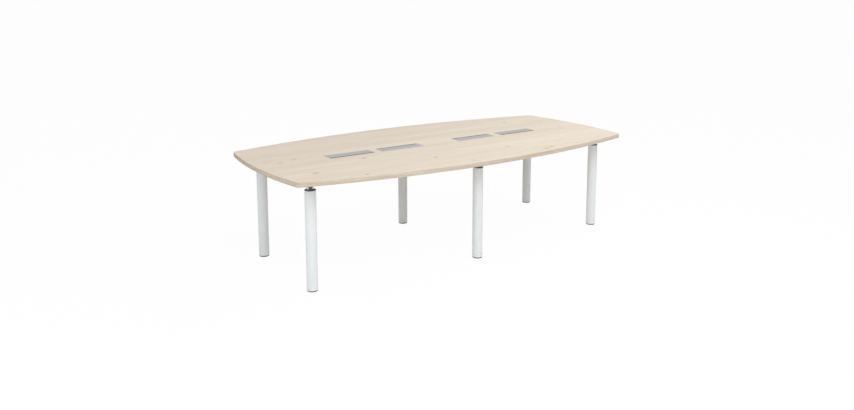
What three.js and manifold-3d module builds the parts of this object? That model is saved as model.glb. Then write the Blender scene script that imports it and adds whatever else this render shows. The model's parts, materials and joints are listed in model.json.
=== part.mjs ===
// Conference table: a barrel-shaped top that floats above six round legs, with four flush cable ports.
// Millimetres, +Z up, +X along the table. The origin is on the floor under the middle of the top.
import * as THREE from "three";
import { mergeVertices } from "three/addons/utils/BufferGeometryUtils.js";
import Module from "manifold-3d";

// Table top
const tableHeight = 730;
const topLength = 2800;
const endWidth = 1034; // across an end, between the corners before they are rounded
const sideBulge = 173; // how far a long side bows out beyond its corners
const endBulge = 48;
const cornerRadius = 30;
const topThickness = 30;
const edgeBandThickness = 2;
const glueLine = 0.1;

// Legs
const legDiameter = 70;
const legWall = 2;
const legEndInset = 194; // from the end of the top to the centre of a corner leg
const cornerLegSideInset = 138; // from the corner line to the centre of a corner leg
const middleLegSideInset = 212; // from the widest point to the centre of a middle leg
const neckDiameter = 45;
const neckWall = 4;
const neckGap = 64; // from the underside of the top to the upper rim of the tube
const capFlange = 4;
const capChamfer = 1;
const capDepth = 50;
const capFloor = 5;
const plateDiameter = 130;
const plateThickness = 5;
const plateHoleCircle = 104;
const plateHoleDiameter = 5.5;
const plateHoleCount = 5;

// Feet
const plugFlange = 2;
const plugDepth = 30;
const footInset = 1.5; // how far the foot stays inside the tube's outline
const footHeight = 6;
const footChamfer = 1.5;
const footStemDiameter = 10;
const footStemLength = 45;

// Cable ports
const portLength = 345;
const portWidth = 105;
const portGap = 56; // between the two ports of a pair
const pairGap = 308; // between the pairs
const portCornerRadius = 4;
const trimRim = 8; // width of the trim that shows round a port
const trimThickness = 1.5;
const wellFlange = 1.5;
const wellWall = 3;
const slotWidth = 10; // left open for cables beside a closed lid
const lidThickness = 3;
const tongueLength = 1.5; // how far the lid reaches into its edge strip
const edgeStripWall = 1; // in front of the tongue
const edgeStripDepth = 9;
const edgeStripChamfer = 0.8;
const lidGap = 0.8; // round the hinge and the ends of a lid
const ledgeWidth = 4;
const ledgeThickness = 3;
const pinDiameter = 4;
const noseWall = 2.2; // metal round the pin in the lid's hinge nose

const clearance = 0.3;

// Facet counts
const legSides = 28;
const holeSides = 8;
const pinSides = 12;
const sideSteps = 20;
const endSteps = 8;
const cornerSteps = 6;
const bandRoundingSteps = 2;
const portCornerSteps = 2;
const noseSteps = 6;

const underside = tableHeight - topThickness;
const tubeTop = underside - neckGap;
const plugBottom = footHeight + clearance;
const tubeBottom = plugBottom + plugFlange;
const legRadius = legDiameter / 2;
const tubeBore = legRadius - legWall;
const openingLength = portLength - 2 * trimRim;
const openingWidth = portWidth - 2 * trimRim;
const rebateDepth = trimThickness + wellFlange;
const noseRadius = pinDiameter / 2 + clearance + noseWall;
const hingeY = openingWidth / 2 - lidGap - noseRadius;
const lidLength = openingLength - 2 * lidGap;
const lidFreeEdge = slotWidth - openingWidth / 2;
const grooveEnd = lidFreeEdge + edgeStripWall;
const edgeStripBack = grooveEnd + tongueLength;
const plateEdge = edgeStripBack + clearance;
const tongueThickness = lidThickness / 3; // the usual share in a tongue and groove joint
const tongueTop = (tongueThickness - lidThickness) / 2;
const mergeTolerance = 1e-3;

const finishes = {
  laminate: { color: 0xe3d4c1, roughness: 0.5, metalness: 0 },
  edge: { color: 0xd5c3ae, roughness: 0.5, metalness: 0 },
  whiteCoat: { color: 0xebeff0, roughness: 0.4, metalness: 0 },
  darkPlastic: { color: 0x38383a, roughness: 0.6, metalness: 0 },
  greyPlastic: { color: 0x6a6a6c, roughness: 0.6, metalness: 0 },
  chrome: { color: 0xd0d2d4, roughness: 0.15, metalness: 1 },
  zincSteel: { color: 0xa8aaac, roughness: 0.4, metalness: 1 },
  aluminium: { color: 0xbebcc0, roughness: 0.35, metalness: 1 },
};

const wasm = await Module();
wasm.setup();

function solidFrom(geometry) {
  const bare = geometry.clone();
  bare.deleteAttribute("normal");
  bare.deleteAttribute("uv");
  const merged = mergeVertices(bare, mergeTolerance);
  const vertProperties = merged.attributes.position.array;
  const triVerts = new Uint32Array(merged.index.array);
  return new wasm.Manifold(new wasm.Mesh({ numProp: 3, vertProperties, triVerts }));
}

function geometryFrom(solid) {
  const { vertProperties, triVerts } = solid.getMesh();
  const geometry = new THREE.BufferGeometry();
  geometry.setAttribute("position", new THREE.BufferAttribute(vertProperties, 3));
  geometry.setIndex(new THREE.BufferAttribute(triVerts, 1));
  geometry.computeVertexNormals();
  return geometry;
}

function piece(name, geometry, finish) {
  const mesh = new THREE.Mesh(geometry, new THREE.MeshStandardMaterial(finishes[finish]));
  mesh.name = name;
  return mesh;
}

// Points on an arc from one angle to another, without the last point.
function arcPoints(x, y, radius, from, to, steps) {
  return Array.from({ length: steps }, (_, i) => {
    const angle = from + ((to - from) * i) / steps;
    return new THREE.Vector2(x + radius * Math.cos(angle), y + radius * Math.sin(angle));
  });
}

function circlePoints(x, y, radius, sides) {
  return arcPoints(x, y, radius, 0, 2 * Math.PI, sides);
}

function arcRadius(chord, rise) {
  return (chord * chord) / (8 * rise) + rise / 2;
}

function slab(shape, low, high, curveSegments) {
  const settings = { depth: high - low, bevelEnabled: false, curveSegments };
  return new THREE.ExtrudeGeometry(shape, settings).translate(0, 0, low);
}

function block(lengthX, widthY, low, high) {
  return new THREE.BoxGeometry(lengthX, widthY, high - low).translate(0, 0, (low + high) / 2);
}

// A solid turned about the vertical axis from [radius, height] pairs.
function turned(profile) {
  const points = profile.map(([radius, height]) => new THREE.Vector2(radius, height));
  return new THREE.LatheGeometry(points, legSides).rotateX(Math.PI / 2);
}

// The plan of the top, set in by a distance: two long arcs, two end arcs and a fillet at each corner.
function barrelPoints(inset) {
  const sideRadius = arcRadius(topLength - 2 * endBulge, sideBulge);
  const endRadius = arcRadius(endWidth, endBulge);
  const sideCentre = endWidth / 2 + sideBulge - sideRadius; // on the Y axis, for the +Y side
  const endCentre = topLength / 2 - endRadius; // on the X axis, for the +X end
  const sideReach = sideRadius - cornerRadius;
  const endReach = endRadius - cornerRadius;
  // The fillet's centre lies at both reaches from the two arc centres.
  const apart = Math.hypot(endCentre, sideCentre);
  const along = (sideReach ** 2 - endReach ** 2 + apart ** 2) / (2 * apart);
  const across = Math.sqrt(sideReach ** 2 - along ** 2);
  const filletX = (along * endCentre - across * sideCentre) / apart;
  const filletY = sideCentre - (along * sideCentre + across * endCentre) / apart;
  const sideAngle = Math.atan2(filletY - sideCentre, filletX);
  const endAngle = Math.atan2(filletY, filletX - endCentre);
  const fillet = cornerRadius - inset;
  const side = sideRadius - inset;
  const end = endRadius - inset;
  const half = Math.PI;
  return [
    ...arcPoints(filletX, filletY, fillet, endAngle, sideAngle, cornerSteps),
    ...arcPoints(0, sideCentre, side, sideAngle, half - sideAngle, sideSteps),
    ...arcPoints(-filletX, filletY, fillet, half - sideAngle, half - endAngle, cornerSteps),
    ...arcPoints(-endCentre, 0, end, half - endAngle, half + endAngle, endSteps),
    ...arcPoints(-filletX, -filletY, fillet, half + endAngle, half + sideAngle, cornerSteps),
    ...arcPoints(0, -sideCentre, side, half + sideAngle, 2 * half - sideAngle, sideSteps),
    ...arcPoints(filletX, -filletY, fillet, -sideAngle, -endAngle, cornerSteps),
    ...arcPoints(endCentre, 0, end, -endAngle, endAngle, endSteps),
  ];
}

// A closed loop whose section is a list of [inset, height] pairs, anticlockwise seen along the loop.
function barrelLoop(section) {
  const rings = section.map(([inset]) => barrelPoints(inset));
  const count = rings[0].length;
  const positions = rings.flatMap((ring, j) => ring.flatMap((point) => [point.x, point.y, section[j][1]]));
  const index = [];
  section.forEach((_, j) => {
    const lower = j * count;
    const upper = ((j + 1) % section.length) * count;
    for (let i = 0; i < count; i += 1) {
      const next = (i + 1) % count;
      index.push(lower + i, lower + next, upper + next);
      index.push(lower + i, upper + next, upper + i);
    }
  });
  const geometry = new THREE.BufferGeometry();
  geometry.setAttribute("position", new THREE.Float32BufferAttribute(positions, 3));
  geometry.setIndex(index);
  geometry.computeVertexNormals();
  return geometry;
}

function edgeBand() {
  const radius = edgeBandThickness;
  const quarter = Math.PI / 2;
  const bottom = arcPoints(radius, underside + radius, radius, -quarter, -2 * quarter, bandRoundingSteps);
  const top = arcPoints(radius, tableHeight - radius, radius, 2 * quarter, quarter, bandRoundingSteps);
  const section = [
    ...bottom.map((point) => [point.x, point.y]),
    [0, underside + radius],
    ...top.map((point) => [point.x, point.y]),
    [radius, tableHeight],
  ];
  return barrelLoop(section);
}

function roundedRectangle(length, width, radius) {
  const x = length / 2 - radius;
  const y = width / 2 - radius;
  const quarter = Math.PI / 2;
  const corner = (signX, signY, turn) =>
    [...Array(portCornerSteps + 1).keys()].map((i) => {
      const angle = (turn + i / portCornerSteps) * quarter;
      return new THREE.Vector2(signX * x + radius * Math.cos(angle), signY * y + radius * Math.sin(angle));
    });
  return [...corner(1, 1, 0), ...corner(-1, 1, 1), ...corner(-1, -1, 2), ...corner(1, -1, 3)];
}

function ringSlab(outer, inner, low, high) {
  const shape = new THREE.Shape(outer);
  shape.holes.push(new THREE.Path(inner));
  return slab(shape, low, high);
}

// The opening inside a port's trim, which the well and the lid follow.
function portOpening(growth) {
  const radius = Math.max(portCornerRadius + growth - wellWall, wellWall / 2);
  return roundedRectangle(openingLength + 2 * growth, openingWidth + 2 * growth, radius);
}

function portOutline(growth) {
  return roundedRectangle(portLength + 2 * growth, portWidth + 2 * growth, portCornerRadius + growth);
}

// The outer ports hinge at the back and the inner ones at the front, so each side of the table has two slots.
const innerPortX = (pairGap + portLength) / 2;
const outerPortX = innerPortX + portLength + portGap;
const portPlaces = [
  { x: -outerPortX, hingeInFront: false },
  { x: -innerPortX, hingeInFront: true },
  { x: innerPortX, hingeInFront: true },
  { x: outerPortX, hingeInFront: false },
];

// The board, routed at each port: a rebate for the flange and the trim, and a cut-out for the well.
function tabletopBoard() {
  const outline = new THREE.Shape(barrelPoints(edgeBandThickness + glueLine));
  const rebate = new THREE.Shape(portOutline(clearance));
  const cutOut = new THREE.Shape(portOpening(wellWall + clearance));
  let board = solidFrom(slab(outline, underside, tableHeight));
  portPlaces.forEach(({ x }) => {
    const above = tableHeight + topThickness;
    const below = underside - topThickness;
    const rebateCut = slab(rebate, tableHeight - rebateDepth, above).translate(x, 0, 0);
    const throughCut = slab(cutOut, below, above).translate(x, 0, 0);
    board = board.subtract(solidFrom(rebateCut)).subtract(solidFrom(throughCut));
  });
  return geometryFrom(board);
}

function mountingPlate() {
  const shape = new THREE.Shape(circlePoints(0, 0, plateDiameter / 2, legSides));
  circlePoints(0, 0, plateHoleCircle / 2, plateHoleCount).forEach(({ x, y }) => {
    shape.holes.push(new THREE.Path(circlePoints(x, y, plateHoleDiameter / 2, holeSides)));
  });
  return slab(shape, underside - plateThickness, underside);
}

function legNeck() {
  const radius = neckDiameter / 2;
  const low = tubeTop - capDepth + capFloor;
  const high = underside - plateThickness;
  return turned([
    [radius - neckWall, low],
    [radius, low],
    [radius, high],
    [radius - neckWall, high],
    [radius - neckWall, low],
  ]);
}

// A bush whose flange covers the rim of the tube and whose blind bore holds the neck.
function legTopCap() {
  const plugRadius = tubeBore - clearance;
  const boreRadius = neckDiameter / 2 + clearance;
  const low = tubeTop - capDepth;
  const high = tubeTop + capFlange;
  return turned([
    [0, low],
    [plugRadius, low],
    [plugRadius, tubeTop],
    [legRadius, tubeTop],
    [legRadius, high - capChamfer],
    [legRadius - capChamfer, high],
    [boreRadius, high],
    [boreRadius, low + capFloor],
    [0, low + capFloor],
  ]);
}

function legTube() {
  return turned([
    [tubeBore, tubeBottom],
    [legRadius, tubeBottom],
    [legRadius, tubeTop],
    [tubeBore, tubeTop],
    [tubeBore, tubeBottom],
  ]);
}

function footPlug() {
  const plugRadius = tubeBore - clearance;
  const boreRadius = footStemDiameter / 2 + clearance;
  return turned([
    [boreRadius, plugBottom],
    [legRadius, plugBottom],
    [legRadius, tubeBottom],
    [plugRadius, tubeBottom],
    [plugRadius, tubeBottom + plugDepth],
    [boreRadius, tubeBottom + plugDepth],
    [boreRadius, plugBottom],
  ]);
}

function levellingFoot() {
  const radius = legRadius - footInset;
  const stemRadius = footStemDiameter / 2;
  return turned([
    [0, 0],
    [radius - footChamfer, 0],
    [radius, footChamfer],
    [radius, footHeight],
    [stemRadius, footHeight],
    [stemRadius, footHeight + footStemLength],
    [0, footHeight + footStemLength],
  ]);
}

// Port pieces are drawn with the table surface at height zero and the hinge on the +Y side.
function portTrim() {
  return ringSlab(portOutline(0), portOpening(0), -trimThickness, 0);
}

function portWell() {
  const flange = solidFrom(ringSlab(portOutline(0), portOpening(0), -rebateDepth, -trimThickness));
  const collar = solidFrom(ringSlab(portOpening(wellWall), portOpening(0), -topThickness, -trimThickness));
  let well = flange.add(collar);
  const ledgeTop = -lidThickness - clearance;
  const ledgeFrom = edgeStripBack + lidGap;
  const ledgeTo = hingeY - noseRadius - lidGap;
  [-1, 1].forEach((end) => {
    const ledge = block(ledgeWidth + wellWall / 2, ledgeTo - ledgeFrom, ledgeTop - ledgeThickness, ledgeTop);
    const ledgeX = end * (openingLength / 2 + wellWall / 4 - ledgeWidth / 2);
    well = well.add(solidFrom(ledge.translate(ledgeX, (ledgeFrom + ledgeTo) / 2, 0)));
  });
  const pinHole = pinRod(pinDiameter / 2 + clearance, openingLength + 4 * wellWall);
  return geometryFrom(well.subtract(solidFrom(pinHole)));
}

// A rod on the hinge axis, centred on the port.
function pinRod(radius, length) {
  const section = new THREE.Shape(circlePoints(hingeY, -noseRadius, radius, pinSides));
  return alongX(slab(section, -length / 2, length / 2));
}

// Turns a section drawn in Y and Z, and extruded, so that the extrusion runs along X.
function alongX(geometry) {
  const axisX = new THREE.Vector3(1, 0, 0);
  const axisY = new THREE.Vector3(0, 1, 0);
  const axisZ = new THREE.Vector3(0, 0, 1);
  return geometry.applyMatrix4(new THREE.Matrix4().makeBasis(axisY, axisZ, axisX));
}

// An extruded plate with a tongue along its free edge and a round nose about the hinge pin.
function portLid() {
  const noseJoin = Math.PI - Math.asin((noseRadius - lidThickness) / noseRadius);
  const tongueTip = plateEdge - tongueLength;
  const section = new THREE.Shape();
  section.moveTo(plateEdge, -lidThickness);
  section.absarc(hingeY, -noseRadius, noseRadius, noseJoin, Math.PI * 2.5, false);
  section.lineTo(plateEdge, 0);
  section.lineTo(plateEdge, tongueTop);
  section.lineTo(tongueTip, tongueTop);
  section.lineTo(tongueTip, tongueTop - tongueThickness);
  section.lineTo(plateEdge, tongueTop - tongueThickness);
  const bore = circlePoints(hingeY, -noseRadius, pinDiameter / 2 + clearance, pinSides);
  section.holes.push(new THREE.Path(bore));
  return alongX(slab(section, -lidLength / 2, lidLength / 2, noseSteps));
}

// A strip that is pushed onto the lid's tongue and hangs below it as a skirt.
function lidEdgeStrip() {
  const grooveTop = tongueTop + clearance;
  const grooveBottom = tongueTop - tongueThickness - clearance;
  const section = new THREE.Shape();
  section.moveTo(lidFreeEdge, -edgeStripDepth);
  section.lineTo(edgeStripBack, -edgeStripDepth);
  section.lineTo(edgeStripBack, grooveBottom);
  section.lineTo(grooveEnd, grooveBottom);
  section.lineTo(grooveEnd, grooveTop);
  section.lineTo(edgeStripBack, grooveTop);
  section.lineTo(edgeStripBack, 0);
  section.lineTo(lidFreeEdge + edgeStripChamfer, 0);
  section.lineTo(lidFreeEdge, -edgeStripChamfer);
  return alongX(slab(section, -lidLength / 2, lidLength / 2));
}

const table = new THREE.Group();
table.add(piece("tabletop_board", tabletopBoard(), "laminate"));
table.add(piece("edge_band", edgeBand(), "edge"));

const cornerLegX = topLength / 2 - legEndInset;
const cornerLegY = endWidth / 2 - cornerLegSideInset;
const middleLegY = endWidth / 2 + sideBulge - middleLegSideInset;
const legPlaces = [
  { place: "left_front", x: -cornerLegX, y: -cornerLegY },
  { place: "left_back", x: -cornerLegX, y: cornerLegY },
  { place: "middle_front", x: 0, y: -middleLegY },
  { place: "middle_back", x: 0, y: middleLegY },
  { place: "right_front", x: cornerLegX, y: -cornerLegY },
  { place: "right_back", x: cornerLegX, y: cornerLegY },
];

legPlaces.forEach(({ place, x, y }) => {
  const leg = new THREE.Group();
  leg.position.set(x, y, 0);
  leg.add(piece(`mounting_plate_${place}`, mountingPlate(), "zincSteel"));
  leg.add(piece(`leg_neck_${place}`, legNeck(), "chrome"));
  leg.add(piece(`leg_top_cap_${place}`, legTopCap(), "darkPlastic"));
  leg.add(piece(`leg_tube_${place}`, legTube(), "whiteCoat"));
  leg.add(piece(`foot_plug_${place}`, footPlug(), "darkPlastic"));
  leg.add(piece(`levelling_foot_${place}`, levellingFoot(), "greyPlastic"));
  table.add(leg);
});

portPlaces.forEach(({ x, hingeInFront }, i) => {
  const port = new THREE.Group();
  port.position.set(x, 0, tableHeight);
  port.rotation.z = hingeInFront ? Math.PI : 0;
  const number = i + 1;
  port.add(piece(`port_trim_${number}`, portTrim(), "aluminium"));
  port.add(piece(`port_well_${number}`, portWell(), "darkPlastic"));
  port.add(piece(`port_lid_${number}`, portLid(), "aluminium"));
  port.add(piece(`lid_edge_strip_${number}`, lidEdgeStrip(), "darkPlastic"));
  const pinLength = openingLength + 2 * (wellWall - clearance);
  port.add(piece(`hinge_pin_${number}`, pinRod(pinDiameter / 2, pinLength), "zincSteel"));
  table.add(port);
});

export default table;
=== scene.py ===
import json
import math

import bmesh
import bpy
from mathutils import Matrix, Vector


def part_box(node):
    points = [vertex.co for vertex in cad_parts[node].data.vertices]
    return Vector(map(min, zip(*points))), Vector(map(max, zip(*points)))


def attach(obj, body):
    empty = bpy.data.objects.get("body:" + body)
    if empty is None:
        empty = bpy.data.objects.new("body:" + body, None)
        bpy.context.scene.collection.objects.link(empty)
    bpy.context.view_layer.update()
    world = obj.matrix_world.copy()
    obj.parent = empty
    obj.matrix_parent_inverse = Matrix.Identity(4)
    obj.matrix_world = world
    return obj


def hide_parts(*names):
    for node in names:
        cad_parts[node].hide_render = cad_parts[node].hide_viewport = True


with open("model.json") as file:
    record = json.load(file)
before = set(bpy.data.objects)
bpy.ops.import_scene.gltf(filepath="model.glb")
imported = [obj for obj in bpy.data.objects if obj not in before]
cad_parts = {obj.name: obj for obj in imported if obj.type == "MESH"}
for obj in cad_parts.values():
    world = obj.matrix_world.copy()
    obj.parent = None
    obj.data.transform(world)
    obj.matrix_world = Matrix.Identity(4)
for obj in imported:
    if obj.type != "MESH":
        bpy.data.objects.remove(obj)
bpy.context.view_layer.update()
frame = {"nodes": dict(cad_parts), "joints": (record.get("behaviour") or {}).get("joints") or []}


def namesAfter(prefix):
    return [name.removeprefix(prefix) for name in frame["nodes"] if name.startswith(prefix)]


legPlaces = namesAfter("leg_tube_")
portNumbers = namesAfter("port_lid_")
print("frame loaded:", len(frame["nodes"]), "nodes,", len(legPlaces), "legs,", len(portNumbers), "ports")


# Small tools for shader nodes
def feed(tree, socket, value):
    if isinstance(value, bpy.types.NodeSocket):
        tree.links.new(value, socket)
    else:
        socket.default_value = value


def addNode(tree, kind, inputs=None, **settings):
    node = tree.nodes.new(kind if kind.startswith("Node") else "ShaderNode" + kind)
    for key, value in settings.items():
        setattr(node, key, value)
    for key, value in (inputs or {}).items():
        feed(tree, node.inputs[key], value)
    return node


def calc(tree, operation, first, second=0.0):
    return addNode(tree, "Math", {0: first, 1: second}, operation=operation).outputs["Value"]


def weightedSum(tree, parts):  # parts are pairs of a value and its share
    total = 0.0
    for value, share in parts:
        total = calc(tree, "ADD", total, calc(tree, "MULTIPLY", value, share))
    return total


def vectorCalc(tree, operation, first, second=(0.0, 0.0, 0.0)):
    return addNode(tree, "VectorMath", {0: first, 1: second}, operation=operation).outputs


def remap(tree, value, fromLow, fromHigh, toLow=0.0, toHigh=1.0):
    limits = {"Value": value, "From Min": fromLow, "From Max": fromHigh, "To Min": toLow, "To Max": toHigh}
    return addNode(tree, "MapRange", limits, interpolation_type="SMOOTHSTEP").outputs["Result"]


mixSockets = {"share": 0, "first": 6, "second": 7, "result": 2}  # the colour sockets of a Mix node


def mixColor(tree, share, first, second, blend="MIX"):
    inputs = {mixSockets["share"]: share, mixSockets["first"]: first, mixSockets["second"]: second}
    node = addNode(tree, "Mix", data_type="RGBA", blend_type=blend, inputs=inputs)
    return node.outputs[mixSockets["result"]]


def mixShader(tree, share, first, second):
    return addNode(tree, "MixShader", {0: share, 1: first, 2: second}).outputs["Shader"]


def stretchedNoise(tree, vector, stretch, detail, distortion=0.0):
    scaled = vectorCalc(tree, "MULTIPLY", vector, stretch)["Vector"]
    values = {"Vector": scaled, "Scale": 1.0, "Detail": detail, "Distortion": distortion}
    return addNode(tree, "TexNoise", values).outputs["Fac"]


def bump(tree, height, strength, distance):
    values = {"Height": height, "Strength": strength, "Distance": distance}
    return addNode(tree, "Bump", values).outputs["Normal"]


def newGroup(name, inputs, outputs):
    tree = bpy.data.node_groups.new(name, "ShaderNodeTree")
    for socketName, kind in inputs.items():
        tree.interface.new_socket(socketName, in_out="INPUT", socket_type="NodeSocket" + kind)
    for socketName, kind in outputs.items():
        tree.interface.new_socket(socketName, in_out="OUTPUT", socket_type="NodeSocket" + kind)
    return tree, addNode(tree, "NodeGroupInput").outputs, addNode(tree, "NodeGroupOutput").inputs


def placeGroup(tree, group, inputs):
    return addNode(tree, "Group", inputs, node_tree=group).outputs


def emptyTree(owner):
    owner.use_nodes = True
    owner.node_tree.nodes.clear()
    return owner.node_tree


def newMaterial(name, values):
    material = bpy.data.materials.new(name)
    tree = emptyTree(material)
    shader = addNode(tree, "BsdfPrincipled", values)
    addNode(tree, "OutputMaterial", {"Surface": shader.outputs["BSDF"]})
    place = addNode(tree, "TexCoord").outputs
    return material, tree, shader.inputs, place


# Colour, roughness and bump of a surface; the roughness follows the mask over the look's spread
def finishSurface(tree, shader, look, color, mask, height):
    feed(tree, shader["Base Color"], color)
    feed(tree, shader["Roughness"], remap(tree, mask, *look.get("spread", (0.0, 1.0)), *look["roughness"]))
    feed(tree, shader["Normal"], bump(tree, height, look["bump"], look["depth"]))


# A stretch counts the waves in a metre along, across and through the wood
woodFigure = {
    "noises": {
        "board": {"stretch": (0.5, 7.0, 7.0), "detail": 2.0, "distortion": 0.3},  # bands a hand wide
        "streak": {"stretch": (1.6, 55.0, 55.0), "detail": 4.0, "distortion": 0.6},
        "line": {"stretch": (5.0, 210.0, 210.0), "detail": 3.0, "distortion": 0.3},
        "fibre": {"stretch": (14.0, 640.0, 640.0), "detail": 3.0},
        "pore": {"stretch": (60.0, 1500.0, 1500.0), "detail": 1.0},
        "drift": {"stretch": (0.7, 4.5, 4.5), "detail": 1.5},  # lets the rings wander
        "hue": {"stretch": (0.6, 3.0, 3.0), "detail": 1.0},  # cream here, a blush there
    },
    "ringTurn": 210.0,  # radians of the rings' wave in a metre across
    "ringWander": 34.0,
    "shares": {"board": 0.55, "streak": 0.75, "line": 0.7, "ring": 0.2, "fibre": 0.5},
    "toneRange": (1.0, 1.7),
    "hueRange": (0.4, 0.6),
    "poreRange": (0.6, 0.72),
    "poreStrength": 0.4,
}


# Grain that runs along the first coordinate, in metres
def makeWoodGrain():
    figure = woodFigure
    sockets = {"Vector": "Vector", "Figure": "Float", "Lean": "Float"}
    sockets.update({"Pale": "Color", "Blush": "Color", "Dark": "Color"})
    tree, given, result = newGroup("woodGrain", sockets, {"Color": "Color", "Height": "Float"})
    axes = addNode(tree, "SeparateXYZ", {"Vector": given["Vector"]}).outputs
    noises = figure["noises"].items()
    parts = {name: stretchedNoise(tree, given["Vector"], **noise) for name, noise in noises}
    phase = weightedSum(tree, [(axes["Y"], figure["ringTurn"]), (parts["drift"], figure["ringWander"])])
    parts["ring"] = remap(tree, calc(tree, "SINE", phase), -1.0, 1.0)
    tone = weightedSum(tree, [(parts[name], share) for name, share in figure["shares"].items()])
    darkness = calc(tree, "MULTIPLY", remap(tree, tone, *figure["toneRange"]), given["Figure"])
    leaning = calc(tree, "MULTIPLY", axes["X"], given["Lean"])  # more of one hue towards an end
    hue = remap(tree, calc(tree, "ADD", parts["hue"], leaning), *figure["hueRange"])
    plain = mixColor(tree, darkness, mixColor(tree, hue, given["Pale"], given["Blush"]), given["Dark"])
    tick = remap(tree, parts["pore"], *figure["poreRange"], 0.0, figure["poreStrength"])  # short dark pores
    feed(tree, result["Color"], mixColor(tree, tick, plain, given["Dark"], "MULTIPLY"))
    feed(tree, result["Height"], calc(tree, "SUBTRACT", parts["fibre"], tick))
    return tree


knotShape = {
    "flatten": (0.75, 1.0, 0.0),  # longer along the grain, and alike all through the board
    "ragged": {"stretch": (70.0, 160.0, 0.0), "detail": 2.0},
    "raggedShare": 0.8,
    "heart": (0.55, 1.3),  # where the dark heart starts to fade and where it ends, in reaches
    "halo": 0.35,
    "haloFade": -0.8,
    "lead": 0.7,  # how far the grain is led aside
    "leadFade": -0.3,
}


# One knot: a dark heart in a soft halo, and the grain led round it
def makeWoodKnot():
    shape = knotShape
    sockets = {"Vector": "Vector", "Mask": "Float", "Centre": "Vector", "Reach": "Float"}
    tree, given, result = newGroup("woodKnot", sockets, {"Vector": "Vector", "Mask": "Float"})
    away = vectorCalc(tree, "SUBTRACT", given["Vector"], given["Centre"])["Vector"]
    flat = vectorCalc(tree, "MULTIPLY", away, shape["flatten"])["Vector"]
    distance = calc(tree, "DIVIDE", vectorCalc(tree, "LENGTH", flat)["Value"], given["Reach"])
    squared = calc(tree, "POWER", distance, 2.0)

    def fading(rate, strength):
        fade = calc(tree, "EXPONENT", calc(tree, "MULTIPLY", squared, rate))
        return calc(tree, "MULTIPLY", fade, strength)

    ragged = stretchedNoise(tree, given["Vector"], **shape["ragged"])
    uneven = calc(tree, "ADD", distance, calc(tree, "MULTIPLY", ragged, shape["raggedShare"]))
    heart = remap(tree, uneven, *shape["heart"], 1.0, 0.0)
    both = calc(tree, "MAXIMUM", heart, fading(shape["haloFade"], shape["halo"]))
    feed(tree, result["Mask"], calc(tree, "MAXIMUM", both, given["Mask"]))
    lead = addNode(tree, "CombineXYZ", {"Y": fading(shape["leadFade"], shape["lead"])}).outputs["Vector"]
    shift = vectorCalc(tree, "MULTIPLY", away, lead)["Vector"]
    feed(tree, result["Vector"], vectorCalc(tree, "SUBTRACT", given["Vector"], shift)["Vector"])
    return tree


skinGrain = {
    "slow": {"stretch": (9.0, 9.0, 5.0), "detail": 3.0},
    "slowShare": 0.7,
    "grainDetail": 3.0,
    "grainShare": 0.3,
    "toneRange": (0.3, 0.7),
}


# Fine skin of a sprayed or moulded surface, and slow changes of tone over it
def makeFineSkin():
    sockets = {"Vector": "Vector", "Grains": "Float"}
    tree, given, result = newGroup("fineSkin", sockets, {"Height": "Float", "Tone": "Float"})
    values = {"Vector": given["Vector"], "Scale": given["Grains"], "Detail": skinGrain["grainDetail"]}
    grain = addNode(tree, "TexNoise", values).outputs["Fac"]
    slow = stretchedNoise(tree, given["Vector"], **skinGrain["slow"])
    mixed = weightedSum(tree, [(slow, skinGrain["slowShare"]), (grain, skinGrain["grainShare"])])
    feed(tree, result["Height"], grain)
    feed(tree, result["Tone"], remap(tree, mixed, *skinGrain["toneRange"]))
    return tree


brushMarks = {
    "fine": {"stretch": (10.0, 1900.0, 1900.0), "detail": 2.0},
    "fineShare": 0.6,
    "coarse": {"stretch": (4.0, 420.0, 420.0), "detail": 3.0},
    "coarseShare": 0.4,
    "slow": {"stretch": (5.0, 26.0, 26.0), "detail": 2.0},
    "toneRange": (0.3, 0.7),
}


# Fine lines along the first coordinate, left by a brush
def makeBrushedLines():
    marks = brushMarks
    tree, given, result = newGroup("brushedLines", {"Vector": "Vector"}, {"Line": "Float", "Tone": "Float"})
    fine = stretchedNoise(tree, given["Vector"], **marks["fine"])
    coarse = stretchedNoise(tree, given["Vector"], **marks["coarse"])
    slow = stretchedNoise(tree, given["Vector"], **marks["slow"])
    line = weightedSum(tree, [(fine, marks["fineShare"]), (coarse, marks["coarseShare"])])
    feed(tree, result["Line"], line)
    feed(tree, result["Tone"], remap(tree, slow, *marks["toneRange"]))
    return tree


woodGrain = makeWoodGrain()
woodKnot = makeWoodKnot()
fineSkin = makeFineSkin()
brushedLines = makeBrushedLines()
print("shader groups made")

coatIor = 1.5  # of laminate, paint and plastic


def grainInputs(look):
    return {key.capitalize(): look[key] for key in ("pale", "blush", "dark", "figure", "lean")}


mapleLook = {
    "pale": (0.79, 0.716, 0.585, 1.0),
    "blush": (0.77, 0.68, 0.572, 1.0),
    "dark": (0.65, 0.538, 0.412, 1.0),
    "figure": 1.0,
    "lean": -0.12,  # the blush fades towards +X
    "spread": (0.2, 0.8),
    "roughness": (0.4, 0.5),
    "bump": 0.12,
    "depth": 0.0004,
    "knot": (0.33, 0.19, 0.09, 1.0),
    "knotStrength": 0.8,
    "knots": (  # where each knot lies on the top, and how far it reaches
        (-1.101, 0.068, 0.014),
        (-1.225, 0.012, 0.014),
        (-1.157, -0.360, 0.021),
        (-0.911, -0.558, 0.013),
        (-0.708, -0.163, 0.018),
        (-0.299, -0.404, 0.013),
        (0.325, -0.396, 0.015),
        (0.586, -0.573, 0.014),
        (0.509, -0.604, 0.018),
        (-0.143, -0.619, 0.013),
        (0.941, 0.369, 0.013),
        (1.180, -0.019, 0.011),
    ),
}


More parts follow.
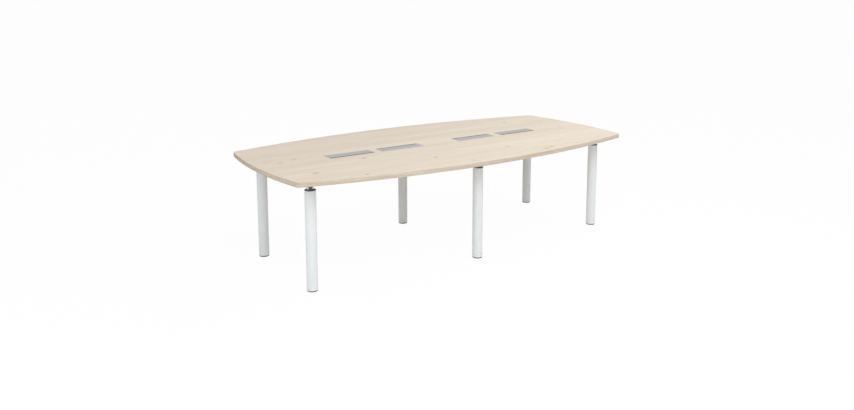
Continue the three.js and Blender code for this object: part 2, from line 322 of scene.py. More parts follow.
def makeMapleTop():
    look = mapleLook
    material, tree, shader, place = newMaterial("mapleTop", {"IOR": coatIor})
    vector, mask = place["Object"], 0.0
    for x, y, reach in look["knots"]:
        spot = {"Centre": (x, y, 0.0), "Reach": reach}
        knot = placeGroup(tree, woodKnot, {"Vector": vector, "Mask": mask, **spot})
        vector, mask = knot["Vector"], knot["Mask"]
    grain = placeGroup(tree, woodGrain, {"Vector": vector, **grainInputs(look)})
    heart = calc(tree, "MULTIPLY", mask, look["knotStrength"])
    color = mixColor(tree, heart, grain["Color"], look["knot"])
    finishSurface(tree, shader, look, color, grain["Height"], grain["Height"])
    return material


edgeLook = {
    "pale": (0.705, 0.615, 0.502, 1.0),
    "blush": (0.69, 0.59, 0.485, 1.0),
    "dark": (0.57, 0.46, 0.358, 1.0),
    "figure": 0.9,
    "lean": 0.0,
    "spread": (0.2, 0.8),
    "roughness": (0.38, 0.5),
    "bump": 0.1,
    "depth": 0.0003,
}


def makeMapleEdge():
    material, tree, shader, place = newMaterial("mapleEdge", {"IOR": coatIor})
    grain = placeGroup(tree, woodGrain, {"Vector": place["UV"], **grainInputs(edgeLook)})
    finishSurface(tree, shader, edgeLook, grain["Color"], grain["Height"], grain["Height"])
    return material


# Sprayed, moulded and plated finishes: two near tones, a fine skin and a roughness that drifts a little
skinLooks = {
    "powderWhite": {
        "low": (0.80, 0.835, 0.845, 1.0),
        "high": (0.835, 0.865, 0.87, 1.0),
        "roughness": (0.34, 0.42),
        "grains": 900.0,
        "bump": 0.12,
        "depth": 0.0002,
        "specular": 0.3,
    },
    "mouldedDark": {
        "low": (0.052, 0.052, 0.055, 1.0),
        "high": (0.066, 0.066, 0.068, 1.0),
        "roughness": (0.5, 0.62),
        "grains": 2400.0,
        "bump": 0.25,
        "depth": 0.0002,
    },
    "satinDark": {
        "low": (0.085, 0.085, 0.088, 1.0),
        "high": (0.102, 0.102, 0.104, 1.0),
        "roughness": (0.32, 0.4),
        "grains": 2400.0,
        "bump": 0.15,
        "depth": 0.0002,
    },
    "footGrey": {
        "low": (0.17, 0.172, 0.176, 1.0),
        "high": (0.21, 0.212, 0.215, 1.0),
        "roughness": (0.42, 0.54),
        "grains": 1600.0,
        "bump": 0.2,
        "depth": 0.0002,
    },
    "chromeNeck": {
        "low": (0.56, 0.565, 0.57, 1.0),
        "high": (0.62, 0.622, 0.625, 1.0),
        "roughness": (0.08, 0.12),
        "grains": 300.0,
        "bump": 0.02,
        "depth": 0.0002,
        "metallic": 1.0,
    },
    "zincSteel": {
        "low": (0.42, 0.425, 0.43, 1.0),
        "high": (0.54, 0.545, 0.55, 1.0),
        "roughness": (0.32, 0.5),
        "grains": 260.0,
        "bump": 0.06,
        "depth": 0.0003,
        "metallic": 1.0,
    },
}


def makeSkinned(name, look):
    values = {"IOR": coatIor, "Metallic": look.get("metallic", 0.0)}
    values["Specular IOR Level"] = look.get("specular", 0.5)
    material, tree, shader, place = newMaterial(name, values)
    skin = placeGroup(tree, fineSkin, {"Vector": place["Object"], "Grains": look["grains"]})
    color = mixColor(tree, skin["Tone"], look["low"], look["high"])
    finishSurface(tree, shader, look, color, skin["Tone"], skin["Height"])
    return material


aluminiumLook = {
    "low": (0.385, 0.367, 0.378, 1.0),
    "high": (0.455, 0.436, 0.447, 1.0),
    "lineRange": (0.36, 0.64),
    "lineShare": 0.65,
    "toneShare": 0.35,
    "spread": (0.25, 0.75),
    "roughness": (0.38, 0.5),
    "bump": 0.15,
    "depth": 0.0002,
}


def makeBrushedAluminium():
    look = aluminiumLook
    material, tree, shader, place = newMaterial("brushedAluminium", {"Metallic": 1.0})
    brushed = placeGroup(tree, brushedLines, {"Vector": place["Object"]})
    line = remap(tree, brushed["Line"], *look["lineRange"])
    share = weightedSum(tree, [(line, look["lineShare"]), (brushed["Tone"], look["toneShare"])])
    color = mixColor(tree, share, look["low"], look["high"])
    finishSurface(tree, shader, look, color, brushed["Line"], brushed["Line"])
    return material


mapleTop = makeMapleTop()
mapleEdge = makeMapleEdge()
finishes = {name: makeSkinned(name, look) for name, look in skinLooks.items()}
brushedAluminium = makeBrushedAluminium()
print("materials made:", len(bpy.data.materials))


# Small tools for meshes, all in metres
tiny = 1e-7  # points nearer than this are one


def meshFromShell(name, shell):
    bmesh.ops.recalc_face_normals(shell, faces=shell.faces)
    mesh = bpy.data.meshes.new(name)
    shell.to_mesh(mesh)
    shell.free()
    return mesh


def smoothen(mesh, sharpAngle):  # edges sharper than the angle stay sharp
    mesh.shade_smooth()
    mesh.set_sharp_from_angle(angle=math.radians(sharpAngle))
    return mesh


def closedMesh(name, vertices, faces, sharpAngle=38):
    shell = bmesh.new()
    corners = [shell.verts.new(vertex) for vertex in vertices]
    for face in faces:
        shell.faces.new([corners[i] for i in face])
    return smoothen(meshFromShell(name, shell), sharpAngle)


def dressPiece(name, mesh, material, body, nodes=(), place=(0, 0, 0), turn=0.0):
    piece = bpy.data.objects.new(name, mesh)
    bpy.context.scene.collection.objects.link(piece)
    if not mesh.materials:
        mesh.materials.append(material)
    piece.location = place
    piece.rotation_euler.z = turn
    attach(piece, body)
    if nodes:
        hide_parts(*nodes)


# Corners are (across, up, setback): a setback above zero turns the corner into a small arc
def roundOff(corners, steps=4):
    points = []
    for i, (across, up, setback) in enumerate(corners):
        corner = Vector((across, up))
        if not setback:
            points.append(corner)
            continue
        before = Vector(corners[i - 1][:2])
        after = Vector(corners[(i + 1) % len(corners)][:2])
        start = corner + (before - corner).normalized() * setback
        end = corner + (after - corner).normalized() * setback
        for k in range(steps + 1):
            t = k / steps
            points.append(start * (1 - t) ** 2 + corner * 2 * t * (1 - t) + end * t ** 2)
    return [point for i, point in enumerate(points) if (point - points[i - 1]).length > tiny]  # none twice


def withNext(ring):  # each item with the one after it, round to the first
    return list(zip(ring, ring[1:] + ring[:1]))


# Faces between rings of vertices; equal corners at the axis fall together
def joinRings(rings, closed=True):
    faces = []
    for lower, upper in withNext(rings) if closed else zip(rings, rings[1:]):
        for (lowLeft, lowRight), (highLeft, highRight) in zip(withNext(lower), withNext(upper)):
            corners = list(dict.fromkeys((lowLeft, lowRight, highRight, highLeft)))
            if len(corners) > 2:
                faces.append(corners)
    return faces


# Rings about the Z axis, each a height and its radii; a ring of no radius is one point
def ringedMesh(name, rows, closed=True, sharpAngle=38):
    vertices, rings = [], []
    for height, radii in rows:
        sides = len(radii)
        if max(radii) < tiny:
            rings.append([len(vertices)] * sides)
            vertices.append((0.0, 0.0, height))
            continue
        rings.append(list(range(len(vertices), len(vertices) + sides)))
        for i, radius in enumerate(radii):
            angle = 2 * math.pi * i / sides
            vertices.append((radius * math.cos(angle), radius * math.sin(angle), height))
    return closedMesh(name, vertices, joinRings(rings, closed), sharpAngle)


# Outlines laid at their heights: all vertices, and the numbers of those in each ring
def stackOutlines(section):
    vertices, rings = [], []
    for points, height in section:
        rings.append(list(range(len(vertices), len(vertices) + len(points))))
        vertices += [(x, y, height) for x, y in points]
    return vertices, rings


def arc(x, y, radius, start, end, steps):  # without the end point
    angles = [start + (end - start) * i / steps for i in range(steps)]
    return [(x + radius * math.cos(angle), y + radius * math.sin(angle)) for angle in angles]


topLow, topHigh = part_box("edge_band")
tableTop = {
    "length": topHigh.x - topLow.x,
    "endWidth": 1.034,  # between the corners of an end, before they are rounded
    "endBulge": 0.048,
    "cornerRadius": 0.030,
    "edgeThickness": 0.002,
    "seam": 0.0001,  # between the board and its edge strip
    "low": topLow.z,
    "high": topHigh.z,
    "sideSteps": 120,
    "endSteps": 48,
    "cornerSteps": 12,
    "edgeSteps": 6,
}
tableTop["sideBulge"] = topHigh.y - tableTop["endWidth"] / 2


def arcRadius(chord, rise):
    return chord * chord / (8 * rise) + rise / 2


# The plan of the top, set in by a distance: long arcs, end arcs and a fillet at each corner
def barrelOutline(inset):
    sizes = tableTop
    side = arcRadius(sizes["length"] - 2 * sizes["endBulge"], sizes["sideBulge"])
    end = arcRadius(sizes["endWidth"], sizes["endBulge"])
    fillet = sizes["cornerRadius"]
    sideY = topHigh.y - side  # centre of the arc on the +Y side
    endX = topHigh.x - end  # centre of the arc on the +X end
    apart = math.hypot(endX, sideY)
    along = ((side - fillet) ** 2 - (end - fillet) ** 2 + apart ** 2) / (2 * apart)
    across = math.sqrt((side - fillet) ** 2 - along ** 2)
    x = (along * endX - across * sideY) / apart  # centre of the fillet between them
    y = sideY - (along * sideY + across * endX) / apart
    sideAngle = math.atan2(y - sideY, x)
    endAngle = math.atan2(y, x - endX)
    half = math.pi
    sideSteps, endSteps, cornerSteps = sizes["sideSteps"], sizes["endSteps"], sizes["cornerSteps"]
    return [
        *arc(x, y, fillet - inset, endAngle, sideAngle, cornerSteps),
        *arc(0, sideY, side - inset, sideAngle, half - sideAngle, sideSteps),
        *arc(-x, y, fillet - inset, half - sideAngle, half - endAngle, cornerSteps),
        *arc(-endX, 0, end - inset, half - endAngle, half + endAngle, endSteps),
        *arc(-x, -y, fillet - inset, half + endAngle, half + sideAngle, cornerSteps),
        *arc(0, -sideY, side - inset, half + sideAngle, 2 * half - sideAngle, sideSteps),
        *arc(x, -y, fillet - inset, -sideAngle, -endAngle, cornerSteps),
        *arc(endX, 0, end - inset, -endAngle, endAngle, endSteps),
    ]


def roundedRectangle(length, width, radius, steps=8):
    x, y, quarter = length / 2 - radius, width / 2 - radius, math.pi / 2
    points = []
    for turn, (signX, signY) in enumerate(((1, 1), (-1, 1), (-1, -1), (1, -1))):
        end = (turn + 1) * quarter
        points += arc(signX * x, signY * y, radius, turn * quarter, end, steps)
        points.append((signX * x + radius * math.cos(end), signY * y + radius * math.sin(end)))
    return points


trimLow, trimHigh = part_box("port_trim_1")
port = {
    "length": trimHigh.x - trimLow.x,
    "width": trimHigh.y - trimLow.y,
    "cornerRadius": 0.004,
    "rim": 0.008,  # width of the trim that shows
    "trimThickness": trimHigh.z - trimLow.z,
    "rebate": 0.003,  # how deep the board is routed for trim and flange
    "wall": 0.003,
    "clearance": 0.0003,
    "soft": 0.0004,  # rounding of the trim's upper edges
    "softMiddle": 0.3,  # share of the rounding at its middle
    "wellSoft": 0.0003,  # bevel of the well and the pin
    "wellSoftSteps": 2,
    "sharpAngle": 30,
}


def portOutline(growth):
    length, width = port["length"] + 2 * growth, port["width"] + 2 * growth
    return roundedRectangle(length, width, port["cornerRadius"] + growth)


def portOpening(growth):
    length = port["length"] - 2 * port["rim"] + 2 * growth
    width = port["width"] - 2 * port["rim"] + 2 * growth
    radius = max(port["cornerRadius"] + growth - port["wall"], port["wall"] / 2)
    return roundedRectangle(length, width, radius)


# The middle of a port and the height of its upper face
def portSpot(number):
    low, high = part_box("port_trim_" + number)
    return (low.x + high.x) / 2, (low.y + high.y) / 2, high.z


def makeBoard():
    shell = bmesh.new()

    def loop(points, height, x=0.0, y=0.0):
        return [shell.verts.new((px + x, py + y, height)) for px, py in points]

    def wall(lower, upper):
        for (lowLeft, lowRight), (highLeft, highRight) in zip(withNext(lower), withNext(upper)):
            shell.faces.new((lowLeft, lowRight, highRight, highLeft))

    outline = barrelOutline(tableTop["edgeThickness"] + tableTop["seam"])
    low, high = tableTop["low"], tableTop["high"]
    floor = high - port["rebate"]
    rebate = portOutline(port["clearance"])
    cutOut = portOpening(port["wall"] + port["clearance"])
    bottom, top = loop(outline, low), loop(outline, high)
    wall(bottom, top)
    bottomLoops, topLoops = [bottom], [top]
    for number in portNumbers:
        x, y = portSpot(number)[:2]
        rebateTop, rebateFloor = loop(rebate, high, x, y), loop(rebate, floor, x, y)
        cutTop, cutLow = loop(cutOut, floor, x, y), loop(cutOut, low, x, y)
        wall(rebateTop, rebateFloor)
        wall(rebateFloor, cutTop)
        wall(cutTop, cutLow)
        topLoops.append(rebateTop)
        bottomLoops.append(cutLow)
    for loops in (topLoops, bottomLoops):
        edges = [shell.edges.get(pair) for ring in loops for pair in withNext(ring)]
        bmesh.ops.triangle_fill(shell, use_beauty=True, edges=edges)
    return meshFromShell("tableTop", shell)


# The strip follows the outline; its UV map runs along the edge and up it, in metres
def makeEdgeStrip():
    low, high, radius = tableTop["low"], tableTop["high"], tableTop["edgeThickness"]
    corners = [(radius, low, 0), (0, low, radius), (0, high, radius), (radius, high, 0)]
    section = roundOff(corners, tableTop["edgeSteps"])
    vertices, rings = stackOutlines([(barrelOutline(inset), height) for inset, height in section])
    mesh = closedMesh("edgeStrip", vertices, joinRings(rings))
    outer = barrelOutline(0.0)
    lengths = [0.0]
    for here, there in withNext(outer):
        lengths.append(lengths[-1] + math.dist(here, there))
    layer = mesh.uv_layers.new(name="alongEdge")
    count = len(outer)
    for polygon in mesh.polygons:
        columns = [mesh.loops[i].vertex_index % count for i in polygon.loop_indices]
        wraps = max(columns) - min(columns) > 1  # the last faces close the round
        for i, column in zip(polygon.loop_indices, columns):
            height = mesh.vertices[mesh.loops[i].vertex_index].co.z
            layer.data[i].uv = (lengths[count] if wraps and column == 0 else lengths[column], height)
    return mesh


dressPiece("tableTop", makeBoard(), mapleTop, "table", ["tabletop_board"])
dressPiece("edgeStrip", makeEdgeStrip(), mapleEdge, "table", ["edge_band"])
print("table top made")

tubeLow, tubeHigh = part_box("leg_tube_" + legPlaces[0])
capLow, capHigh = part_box("leg_top_cap_" + legPlaces[0])
neckLow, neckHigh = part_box("leg_neck_" + legPlaces[0])
plateLow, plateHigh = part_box("mounting_plate_" + legPlaces[0])
plugLow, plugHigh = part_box("foot_plug_" + legPlaces[0])
footLow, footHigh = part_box("levelling_foot_" + legPlaces[0])
leg = {
    "radius": (tubeHigh.x - tubeLow.x) / 2,
    "wall": 0.002,
    "gap": 0.0003,
    "sides": 96,
    "fine": 0.0003,  # roundings, from the least to the largest
    "soft": 0.0004,
    "eased": 0.0005,
    "leadIn": 0.001,  # helps a plug into the tube
    "rounded": 0.0012,
    "neckRadius": (neckHigh.x - neckLow.x) / 2,
    "neckWall": 0.004,
    "weld": 0.003,  # bead between the neck and its plate
    "weldRound": 0.0015,
    "plateRadius": (plateHigh.x - plateLow.x) / 2,
    "capFloor": 0.005,
    "capGroove": 0.0012,  # depth of the ring round the neck
    "capGrooveWidth": 0.006,
    "capSlope": 0.001,
}
foot = {
    "radius": (footHigh.x - footLow.x) / 2,
    "top": 0.006,
    "lowRound": 0.002,
    "topRound": 0.0008,
    "roundSteps": 5,
    "stemRadius": 0.005,
    "pitch": 0.0015,
    "threadDepth": 0.0008,
    "threadSteps": 6,  # rings in one turn of the thread
    "sides": 36,
    "sharpAngle": 50,
}


def turnedMesh(name, corners):
    return ringedMesh(name, [(up, [across] * leg["sides"]) for across, up in roundOff(corners)])


def tubeMesh():
    outer, inner, soft = leg["radius"], leg["radius"] - leg["wall"], leg["soft"]
    return turnedMesh("legTube", [
        (inner, tubeLow.z, 0),
        (outer, tubeLow.z, soft),
        (outer, tubeHigh.z, soft),
        (inner, tubeHigh.z, 0),
    ])


def capMesh():
    outer, plug = leg["radius"], leg["radius"] - leg["wall"] - leg["gap"]
    low, rim, high = capLow.z, tubeHigh.z, capHigh.z
    bore, bed = leg["neckRadius"] + leg["gap"], high - leg["capGroove"]
    ledge = bore + leg["capGrooveWidth"]
    return turnedMesh("legCap", [
        (0, low, 0),
        (plug, low, leg["leadIn"]),
        (plug, rim, 0),
        (outer, rim, leg["soft"]),
        (outer, high, leg["rounded"]),
        (ledge + leg["capSlope"], high, leg["eased"]),
        (ledge, bed, leg["soft"]),
        (bore, bed, leg["soft"]),
        (bore, low + leg["capFloor"], 0),
        (0, low + leg["capFloor"], 0),
    ])


def neckMesh():
    outer, inner, weld = leg["neckRadius"], leg["neckRadius"] - leg["neckWall"], leg["weld"]
    return turnedMesh("legNeck", [
        (inner, neckLow.z, 0),
        (outer, neckLow.z, leg["eased"]),
        (outer, neckHigh.z - weld, leg["weldRound"]),
        (outer + weld, neckHigh.z, 0),
        (inner, neckHigh.z, 0),
    ])


def plateMesh():
    radius = leg["plateRadius"]
    return turnedMesh("neckPlate", [
        (0, plateLow.z, 0),
        (radius, plateLow.z, leg["rounded"]),
        (radius, plateHigh.z, leg["soft"]),
        (0, plateHigh.z, 0),
    ])


def plugMesh():
    outer, plug = leg["radius"], leg["radius"] - leg["wall"] - leg["gap"]
    bore = foot["stemRadius"] + leg["gap"]
    return turnedMesh("footPlug", [
        (bore, plugLow.z, leg["eased"]),
        (outer, plugLow.z, leg["eased"]),
        (outer, tubeLow.z, leg["fine"]),
        (plug, tubeLow.z, 0),
        (plug, plugHigh.z, leg["leadIn"]),
        (bore, plugHigh.z, 0),
    ])


# The foot's disc, with a screw thread worked into its stem
def footMesh():
    sides, pitch, depth = foot["sides"], foot["pitch"], foot["threadDepth"]
    radius, stem, low, top, high = foot["radius"], foot["stemRadius"], footLow.z, foot["top"], footHigh.z
    corners = [(0, low, 0), (radius, low, foot["lowRound"]), (radius, top, foot["topRound"])]
    rows = [(up, [across] * sides) for across, up in roundOff(corners, foot["roundSteps"])]
    rows.append((top, [stem] * sides))
    threadLow, threadHigh = top + pitch, high - pitch
    count = round((threadHigh - threadLow) / pitch * foot["threadSteps"])
    for k in range(count + 1):
        height = threadLow + (threadHigh - threadLow) * k / count
        waves = [abs((height / pitch - i / sides) % 1 * 2 - 1) for i in range(sides)]
        rows.append((height, [stem - depth * wave for wave in waves]))
    rows.append((high, [stem - depth] * sides))
    rows.append((high, [0.0] * sides))
    return ringedMesh("levellingFoot", rows, closed=False, sharpAngle=foot["sharpAngle"])


screw = {
    "count": 5,
    "circle": 0.052,  # radius of the ring that they stand on
    "headRadius": 0.0052,
    "headHeight": 0.0028,
    "profile": ((1.0, 0.0), (1.0, 0.35), (0.9, 0.72), (0.68, 0.93), (0.45, 1.0)),  # of radius, height
    "recess": 0.0016,
    "mouth": (0.42, 0.16),  # how far out the cross's arms and its hollows lie, in head radii
    "bed": (0.3, 0.1),  # the same at the recess's floor
    "armPower": 3,  # a higher one makes the arms of the cross slimmer
    "twist": 0.7,  # radians from one screw to the next
    "sides": 24,
    "sharpAngle": 50,
}


# Pan-head wood screws with a cross recess, in a ring on the plate
def screwMesh():
    sides, radius, height = screw["sides"], screw["headRadius"], screw["headHeight"]
    turns = [2 * math.pi * i / sides for i in range(sides)]
    arms = [abs(math.cos(2 * turn)) ** screw["armPower"] for turn in turns]

    def cross(reach, hollow):
        return [(hollow + (reach - hollow) * arm) * radius for arm in arms]

    rows = [([share * radius] * sides, rise * height) for share, rise in screw["profile"]]
    rows.append((cross(*screw["mouth"]), height))
    rows.append((cross(*screw["bed"]), height - screw["recess"]))
    vertices, faces = [], []
    for n in range(screw["count"]):
        angle, twist = 2 * math.pi * n / screw["count"], screw["twist"] * n
        x, y = screw["circle"] * math.cos(angle), screw["circle"] * math.sin(angle)
        rings = []
        for radii, rise in rows:
            rings.append(list(range(len(vertices), len(vertices) + sides)))
            for turn, r in zip(turns, radii):
                spot = (x + r * math.cos(turn + twist), y + r * math.sin(turn + twist), plateLow.z - rise)
                vertices.append(spot)
        faces += joinRings(rings, closed=False)
        faces.append(list(reversed(rings[0])))
        faces.append(rings[-1])
    return closedMesh("plateScrews", vertices, faces, screw["sharpAngle"])


legParts = (  # piece, CAD node, mesh, material, slot
    ("legTube", "leg_tube_", tubeMesh(), finishes["powderWhite"], "white_coat"),
    ("legCap", "leg_top_cap_", capMesh(), finishes["satinDark"], "dark_plastic"),
    ("legNeck", "leg_neck_", neckMesh(), finishes["chromeNeck"], "chrome"),
    ("neckPlate", "mounting_plate_", plateMesh(), finishes["zincSteel"], "zinc_steel"),
    ("footPlug", "foot_plug_", plugMesh(), finishes["mouldedDark"], "dark_plastic"),
    ("levellingFoot", "levelling_foot_", footMesh(), finishes["footGrey"], "grey_foot"),
)
screws = screwMesh()
for place in legPlaces:
    low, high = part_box("leg_tube_" + place)
    spot = ((low.x + high.x) / 2, (low.y + high.y) / 2, 0.0)
    for piece, node, mesh, material, slot in legParts:
        body = "foot_" + place if piece == "levellingFoot" else "table"
        dressPiece(piece + "_" + place, mesh, material, body, [node + place], spot)
    dressPiece("plateScrews_" + place, screws, finishes["zincSteel"], "table", (), spot)
print("legs made:", len(legPlaces))


# A closed frame whose section is swept round the port
def makeTrim():
    low, soft = -port["trimThickness"], port["soft"]
    middle = soft * port["softMiddle"]
    vertices, rings = stackOutlines((
        (portOutline(0.0), low),
        (portOutline(0.0), -soft),
        (portOutline(-middle), -middle),
        (portOutline(-soft), 0.0),
        (portOpening(soft), 0.0),
        (portOpening(middle), -middle),
        (portOpening(0.0), -soft),
        (portOpening(0.0), low),
    ))
    return closedMesh("portTrim", vertices, joinRings(rings), port["sharpAngle"])


lidLow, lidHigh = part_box("port_lid_1")
stripLow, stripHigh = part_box("lid_edge_strip_1")
pinLow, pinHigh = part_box("hinge_pin_1")
trimY = (trimLow.y + trimHigh.y) / 2
lid = {
    "length": lidHigh.x - lidLow.x,
    "tongueTip": lidLow.y - trimY,
    "tongueLength": 0.0015,
    "tongueThickness": 0.001,
    "hingeY": (pinLow.y + pinHigh.y) / 2 - trimY,
    "noseRadius": trimHigh.z - (pinLow.z + pinHigh.z) / 2,
    "noseSteps": 28,
    "thickness": 0.003,
    "boreRadius": (pinHigh.z - pinLow.z) / 2 + port["clearance"],
    "boreSteps": 24,
    "soft": 0.0004,
}
strip = {
    "front": stripLow.y - trimY,
    "back": stripHigh.y - trimY,
    "depth": stripHigh.z - stripLow.z,
    "wall": 0.001,
    "clearance": 0.0003,
    "round": 0.0012,  # upper edge, where a finger or a cable touches it
    "soft": 0.0005,
    "fine": 0.0002,
}


# A section in Y and Z drawn out along X, with any holes in it, closed at both ends
def drawnMesh(name, outlines):
    shell = bmesh.new()
    ends = []
    for x in (-lid["length"] / 2, lid["length"] / 2):
        loops = [[shell.verts.new((x, y, z)) for y, z in points] for points in outlines]
        edges = [shell.edges.new(pair) for ring in loops for pair in withNext(ring)]
        bmesh.ops.triangle_fill(shell, use_beauty=True, edges=edges)
        ends.append(loops)
    for first, second in zip(*ends):
        for (left, right), (farLeft, farRight) in zip(withNext(first), withNext(second)):
            shell.faces.new((left, right, farRight, farLeft))
    return smoothen(meshFromShell(name, shell), port["sharpAngle"])


# A plate with a tongue along its free edge and a round nose about the pin
def makeLid():
    nose, hinge, soft, thick = lid["noseRadius"], lid["hingeY"], lid["soft"], lid["thickness"]
    tip, edge = lid["tongueTip"], lid["tongueTip"] + lid["tongueLength"]
    tongueTop = (lid["tongueThickness"] - thick) / 2
    tongueLow = tongueTop - lid["tongueThickness"]
    start, end = math.pi - math.asin((nose - thick) / nose), 2.5 * math.pi  # from the plate's underside up
    free = [
        (hinge, 0, 0),
        (edge, 0, soft),
        (edge, tongueTop, 0),
        (tip, tongueTop, 0),
        (tip, tongueLow, 0),
        (edge, tongueLow, 0),
        (edge, -thick, soft),
    ]
    section = [*roundOff(free), *arc(hinge, -nose, nose, start, end, lid["noseSteps"])]
    bore = arc(hinge, -nose, lid["boreRadius"], 0.0, 2 * math.pi, lid["boreSteps"])
    return drawnMesh("portLid", (section, bore))


# The strip that is pushed onto the tongue, with a skirt below it
def makeLidStrip():
    front, back, play = strip["front"], strip["back"], strip["clearance"]
    grooveEnd = front + strip["wall"]
    grooveTop = (lid["tongueThickness"] - lid["thickness"]) / 2 + play
    grooveLow = grooveTop - lid["tongueThickness"] - 2 * play
    return drawnMesh("lidStrip", [roundOff([
        (front, -strip["depth"], strip["soft"]),
        (back, -strip["depth"], strip["soft"]),
        (back, grooveLow, 0),
        (grooveEnd, grooveLow, 0),
        (grooveEnd, grooveTop, 0),
        (back, grooveTop, 0),
        (back, 0, strip["fine"]),
        (front, 0, strip["round"]),
    ])])


portParts = (  # piece, CAD node, mesh, material, slot
    ("portTrim_", "port_trim_", makeTrim(), brushedAluminium, "aluminium"),
    ("portLid_", "port_lid_", makeLid(), brushedAluminium, "aluminium"),
    ("lidStrip_", "lid_edge_strip_", makeLidStrip(), finishes["mouldedDark"], "dark_plastic"),
)
keptSolids = {"port_well_": finishes["mouldedDark"], "hinge_pin_": finishes["zincSteel"]}
for number in portNumbers:
    spot = portSpot(number)
    pinAt = sum(corner.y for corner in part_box("hinge_pin_" + number)) / 2
    turn = 0.0 if pinAt > spot[1] else math.pi  # two ports face the other way
    for piece, node, mesh, material, slot in portParts:
        body = "table" if piece == "portTrim_" else "lid_" + number
        dressPiece(piece + number, mesh, material, body, [node + number], spot, turn)
    for node, material in keptSolids.items():
        solid = frame["nodes"][node + number]
        solid.data.materials.clear()
        solid.data.materials.append(material)
        soften = solid.modifiers.new("softEdges", "BEVEL")
        soften.width = port["wellSoft"]
        soften.segments = port["wellSoftSteps"]
        soften.limit_method = "ANGLE"
print("ports made:", len(portNumbers))

footTravel = max(joint["range_m"][1] for joint in frame["joints"] if joint["type"] == "slide")
studio = {
    "white": (1.0, 1.0, 1.0, 1.0),
    "worldLight": 0.54,
    "floorSize": 400.0,
    "floorHeight": -footTravel,  # a foot at its limit still stands on it
    "floorColor": (0.9, 0.9, 0.9, 1.0),
    "floorGlow": 0.97,  # share of plain white that the camera sees on the floor
    # painted reflection: these cards put a dark reflection into the chrome neck; no ray but gloss meets
    # them
    "cards": {  # dark cards just over the floor before and behind the table, which only gloss shows
        "from": 1.4,
        "to": 60.0,
        "width": 60.0,
        "lift": 0.01,
        # the dim brown tone of the painted reflection
        "color": (0.15, 0.137, 0.125, 1.0),
        "turn": 14.0,  # degrees from +Y towards +X
        "hiddenFrom": ("camera", "diffuse", "transmission", "volume_scatter", "shadow"),
    },
    "lamps": {  # soft round lamps: where each stands, what it points at, its width and its power
        "overTop": ((-0.8, -3.6, 4.6), (-0.2, 0.0, 0.4), 3.2, 90.0),
        "frontLeft": ((-2.5, -4.5, 3.0), (-0.4, 0.0, 0.4), 2.4, 43.0),
        "rightTop": ((2.0, -0.9, 3.2), (0.9, -0.3, 0.7), 1.6, 27.0),
        "leftFill": ((-4.6, -0.3, 2.2), (-1.2, 0.0, 0.4), 2.0, 20.0),
    },
}


# 1 where a camera, mirror or glass ray looks, so that these see plain white
def seenDirectly(tree):
    path = addNode(tree, "LightPath").outputs
    both = calc(tree, "MAXIMUM", path["Is Camera Ray"], path["Is Glossy Ray"])
    return calc(tree, "MAXIMUM", both, path["Is Transmission Ray"])


def flatSheet(name, low, high, height, material):
    mesh = bpy.data.meshes.new(name)
    corners = [(low[0], low[1]), (high[0], low[1]), (high[0], high[1]), (low[0], high[1])]
    mesh.from_pydata([(x, y, height) for x, y in corners], [], [(0, 1, 2, 3)])
    mesh.materials.append(material)
    sheet = bpy.data.objects.new(name, mesh)
    bpy.context.scene.collection.objects.link(sheet)
    return sheet


def makeFloor():
    material = bpy.data.materials.new("studioFloor")
    tree = emptyTree(material)
    matt = addNode(tree, "BsdfDiffuse", {"Color": studio["floorColor"]}).outputs["BSDF"]
    glow = addNode(tree, "Emission", {"Color": studio["white"], "Strength": 1.0}).outputs["Emission"]
    share = calc(tree, "MULTIPLY", seenDirectly(tree), studio["floorGlow"])
    clear = addNode(tree, "BsdfTransparent").outputs["BSDF"]
    below = addNode(tree, "NewGeometry").outputs["Backfacing"]
    surface = mixShader(tree, below, mixShader(tree, share, matt, glow), clear)
    addNode(tree, "OutputMaterial", {"Surface": surface})
    half = studio["floorSize"] / 2
    flatSheet("studioFloor", (-half, -half), (half, half), studio["floorHeight"], material)


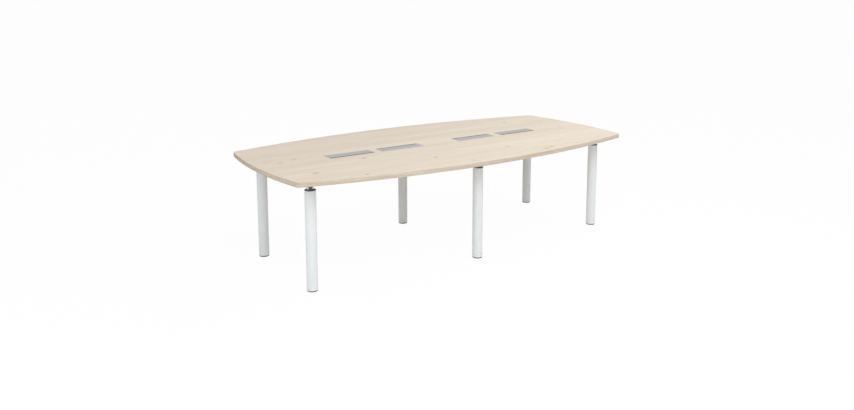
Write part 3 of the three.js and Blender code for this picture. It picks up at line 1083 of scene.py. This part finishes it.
# Painted reflection: dark sheets that only gloss rays see, to darken the chrome neck's reflection
def makeReflectionCards():
    card = studio["cards"]
    material = newMaterial("darkCard", {"Base Color": card["color"], "Specular IOR Level": 0.0})[0]
    half, height = card["width"] / 2, studio["floorHeight"] + card["lift"]
    near, far = card["from"], card["to"]
    for name, low, high in (("frontCard", -far, -near), ("backCard", near, far)):
        sheet = flatSheet(name, (-half, low), (half, high), height, material)
        sheet.rotation_euler.z = -math.radians(card["turn"])
        for ray in card["hiddenFrom"]:
            setattr(sheet, "visible_" + ray, False)


def makeWorld():
    world = bpy.data.worlds.new("studioWorld")
    bpy.context.scene.world = world
    tree = emptyTree(world)
    light = {"Color": studio["white"], "Strength": studio["worldLight"]}
    soft = addNode(tree, "Background", light).outputs["Background"]
    white = addNode(tree, "Background", {"Color": studio["white"], "Strength": 1.0}).outputs["Background"]
    addNode(tree, "OutputWorld", {"Surface": mixShader(tree, seenDirectly(tree), soft, white)})


def makeLamps():
    for name, (place, target, size, power) in studio["lamps"].items():
        light = bpy.data.lights.new(name, "AREA")
        light.shape = "DISK"
        light.size = size
        light.energy = power
        holder = bpy.data.objects.new(name, light)
        holder.location = place
        aim = Vector(target) - Vector(place)
        holder.rotation_euler = aim.to_track_quat("-Z", "Y").to_euler()
        bpy.context.scene.collection.objects.link(holder)


cameraView = {
    "place": (-3.1868, -4.5397, 1.8525),
    "yaw": 34.26,  # degrees from +Y towards +X
    "pitch": 8.52,  # degrees below the horizon
    "lens": 32.695,
    "sensor": 36.0,
    "shift": -0.12,
}


def makeCamera():
    data = bpy.data.cameras.new("photoCamera")
    data.lens = cameraView["lens"]
    data.sensor_width = cameraView["sensor"]
    data.shift_y = cameraView["shift"]
    camera = bpy.data.objects.new("photoCamera", data)
    camera.location = cameraView["place"]
    camera.rotation_euler = (math.radians(90 - cameraView["pitch"]), 0.0, -math.radians(cameraView["yaw"]))
    bpy.context.scene.collection.objects.link(camera)
    bpy.context.scene.camera = camera


makeFloor()
makeReflectionCards()
makeWorld()
makeLamps()
makeCamera()
bpy.context.scene.view_settings.view_transform = "Standard"
print("studio set")

bpy.context.view_layer.update()
